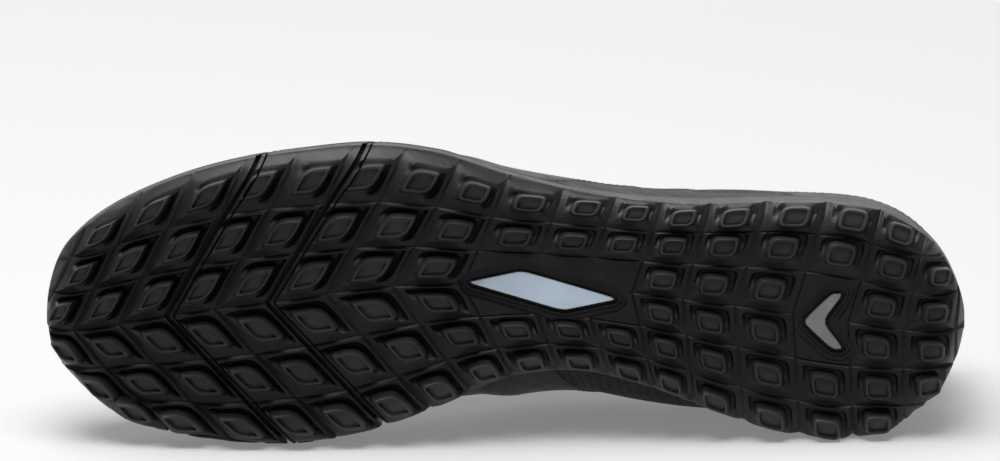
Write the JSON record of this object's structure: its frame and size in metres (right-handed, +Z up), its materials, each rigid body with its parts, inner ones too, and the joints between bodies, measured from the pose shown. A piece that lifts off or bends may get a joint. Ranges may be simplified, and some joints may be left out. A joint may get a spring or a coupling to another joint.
{
  "type": "turf shoe",
  "caption": "Low-cut laced turf shoe, left foot, with a studded rubber cup sole, two flex grooves, a hollow upper with a tongue and crossed laces, lying on its inner side.",
  "frame": {"origin": "On the floor under the middle of the bounding box.", "axes": "+X runs from the toe to the heel, -Y is where the tread faces, +Z is up, towards the outer side of the shoe, which lies on its inner side."},
  "size_m": [0.282, 0.1062, 0.0927],
  "materials": {
    "outsole_rubber": "satin black moulded rubber",
    "pale_inlay": "smooth pale blue-grey inlay",
    "grey_inlay": "smooth translucent grey window",
    "upper_skin": "black textured synthetic skin, low sheen",
    "tongue_fabric": "black padded knit",
    "insole_fabric": "black brushed fabric",
    "lace_fabric": "black flat woven lace"
  },
  "bodies": {
    "root": {"outsole": "outsole_rubber", "arch_inlay": "pale_inlay", "heel_inlay": "grey_inlay", "upper": "upper_skin", "tongue": "tongue_fabric", "insole": "insole_fabric", "laces": "lace_fabric"}
  },
  "joints": []
}
